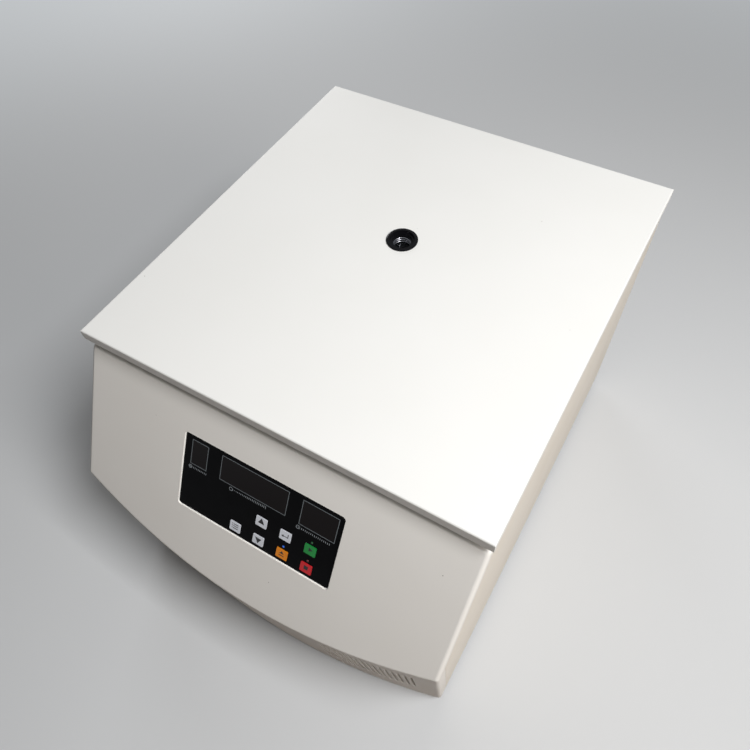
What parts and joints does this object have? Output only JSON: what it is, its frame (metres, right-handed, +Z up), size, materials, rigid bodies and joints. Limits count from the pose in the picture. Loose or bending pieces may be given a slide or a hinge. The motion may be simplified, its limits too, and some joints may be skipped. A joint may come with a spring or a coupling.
{
  "type": "laboratory centrifuge",
  "caption": "Bench defoaming centrifuge: hinged flat lid with sight port, sloped key panel, bowed louvred front, steel chamber and swing-out rotor.",
  "frame": {"origin": "under the middle of the whole machine, on the surface it stands on", "axes": "+X to the operator's right, +Y to the rear, +Z up; the control panel faces -Y"},
  "size_m": [0.43, 0.5659, 0.3716],
  "materials": {
    "housing_paint": "cream powder paint",
    "front_paint": "light grey-white powder paint",
    "lid_paint": "white powder paint",
    "zinc_sheet": "zinc-plated sheet",
    "foot_rubber": "matt black rubber",
    "gasket_rubber": "soft black rubber",
    "stainless": "brushed stainless sheet",
    "steel_plate": "grey primed steel",
    "cast_alloy": "cast aluminium",
    "bright_steel": "bright machined steel",
    "rotor_alloy": "anodised aluminium",
    "board": "grey sound-deadening board",
    "black_plastic": "black moulded plastic",
    "clear_window": "clear disc",
    "overlay_film": "satin black film",
    "smoked_window": "smoked lens",
    "circuit_board": "green laminate",
    "lamp_tip": "lamp tip",
    "key_pale": "pale key",
    "key_orange": "orange key",
    "key_green": "green key",
    "key_red": "red key"
  },
  "bodies": {
    "cabinet": {"base_pan": "zinc_sheet", "body_wrap": "housing_paint", "boot_seal": "gasket_rubber", "case_screws": "bright_steel", "chamber_bowl": "stainless", "chamber_gasket": "gasket_rubber", "display_modules": "black_plastic", "display_windows": "smoked_window", "drive_unit": "cast_alloy", "fan_frame": "black_plastic", "fan_guard": "bright_steel", "feet": "foot_rubber", "front_panel": "front_paint", "guard_ring": "steel_plate", "hinge_leaves_fixed": "bright_steel", "hinge_pins": "bright_steel", "indicator_lights": "lamp_tip", "inlet_socket": "black_plastic", "isolators": "foot_rubber", "key_board": "circuit_board", "line_filter": "zinc_sheet", "lock_bracket": "zinc_sheet", "lock_solenoid": "black_plastic", "motor_end_cap": "cast_alloy", "motor_housing": "cast_alloy", "motor_plate": "steel_plate", "panel_overlay": "overlay_film", "posts": "steel_plate", "rear_panel": "housing_paint", "rocker_frame": "black_plastic"},
    "lid": {"lid_cover": "lid_paint", "lid_liner": "stainless", "lid_core": "board", "sight_bushing": "black_plastic", "sight_glass": "clear_window", "bushing_nut": "black_plastic", "lid_striker": "bright_steel", "hinge_leaves_lid": "bright_steel", "lid_screws": "bright_steel"},
    "rotor": {"spindle": "bright_steel", "rotor_head": "rotor_alloy", "rotor_nut": "bright_steel"},
    "lock": {"lock_bolt": "bright_steel"},
    "power_rocker": {"rocker": "black_plastic"},
    "fan": {"fan_wheel": "black_plastic"},
    "swing_bucket_1": {"bucket_1": "rotor_alloy", "cushion_1": "gasket_rubber"},
    "swing_bucket_2": {"bucket_2": "rotor_alloy", "cushion_2": "gasket_rubber"},
    "swing_bucket_3": {"bucket_3": "rotor_alloy", "cushion_3": "gasket_rubber"},
    "swing_bucket_4": {"bucket_4": "rotor_alloy", "cushion_4": "gasket_rubber"},
    "key_function": {"key_function": "key_pale"},
    "key_up": {"key_up": "key_pale"},
    "key_down": {"key_down": "key_pale"},
    "key_enter": {"key_enter": "key_pale"},
    "key_open": {"key_open": "key_orange"},
    "key_start": {"key_start": "key_green"},
    "key_stop": {"key_stop": "key_red"}
  },
  "joints": [
    {"name": "lid_hinge", "type": "hinge", "parent": "cabinet", "child": "lid", "pos_m": [0, 0.278, 0.356], "axis": [-1, 0, 0], "range_deg": [0, 80]},
    {"name": "rotor_spin", "type": "hinge", "parent": "cabinet", "child": "rotor", "pos_m": [-0.004, 0.068, 0.283], "axis": [0, 0, 1], "continuous": true},
    {"name": "bucket_swing_1", "type": "hinge", "parent": "rotor", "child": "swing_bucket_1", "pos_m": [0.094, 0.068, 0.283], "axis": [0, -1, 0], "range_deg": [0, 90]},
    {"name": "bucket_swing_2", "type": "hinge", "parent": "rotor", "child": "swing_bucket_2", "pos_m": [-0.004, 0.166, 0.283], "axis": [1, 0, 0], "range_deg": [0, 90]},
    {"name": "bucket_swing_3", "type": "hinge", "parent": "rotor", "child": "swing_bucket_3", "pos_m": [-0.102, 0.068, 0.283], "axis": [0, 1, 0], "range_deg": [0, 90]},
    {"name": "bucket_swing_4", "type": "hinge", "parent": "rotor", "child": "swing_bucket_4", "pos_m": [-0.004, -0.03, 0.283], "axis": [-1, 0, 0], "range_deg": [0, 90]},
    {"name": "lock_slide", "type": "slide", "parent": "cabinet", "child": "lock", "axis": [1, 0, 0], "range_m": [0, 0.014], "stiffness_N_per_m": 150},
    {"name": "key_function_press", "type": "slide", "parent": "cabinet", "child": "key_function", "axis": [0, 0.8625, -0.506], "range_m": [0, 0.0005], "stiffness_N_per_m": 1500},
    {"name": "key_up_press", "type": "slide", "parent": "cabinet", "child": "key_up", "axis": [0, 0.8625, -0.506], "range_m": [0, 0.0005], "stiffness_N_per_m": 1500},
    {"name": "key_down_press", "type": "slide", "parent": "cabinet", "child": "key_down", "axis": [0, 0.8625, -0.506], "range_m": [0, 0.0005], "stiffness_N_per_m": 1500},
    {"name": "key_enter_press", "type": "slide", "parent": "cabinet", "child": "key_enter", "axis": [0, 0.8625, -0.506], "range_m": [0, 0.0005], "stiffness_N_per_m": 1500},
    {"name": "key_open_press", "type": "slide", "parent": "cabinet", "child": "key_open", "axis": [0, 0.8625, -0.506], "range_m": [0, 0.0005], "stiffness_N_per_m": 1500},
    {"name": "key_start_press", "type": "slide", "parent": "cabinet", "child": "key_start", "axis": [0, 0.8625, -0.506], "range_m": [0, 0.0005], "stiffness_N_per_m": 1500},
    {"name": "key_stop_press", "type": "slide", "parent": "cabinet", "child": "key_stop", "axis": [0, 0.8625, -0.506], "range_m": [0, 0.0005], "stiffness_N_per_m": 1500},
    {"name": "rocker_tip", "type": "hinge", "parent": "cabinet", "child": "power_rocker", "pos_m": [0.12, 0.274, 0.122], "axis": [1, 0, 0], "range_deg": [0, 20]},
    {"name": "fan_spin", "type": "hinge", "parent": "cabinet", "child": "fan", "pos_m": [-0.1, 0.2715, 0.12], "axis": [0, 1, 0], "continuous": true}
  ]
}
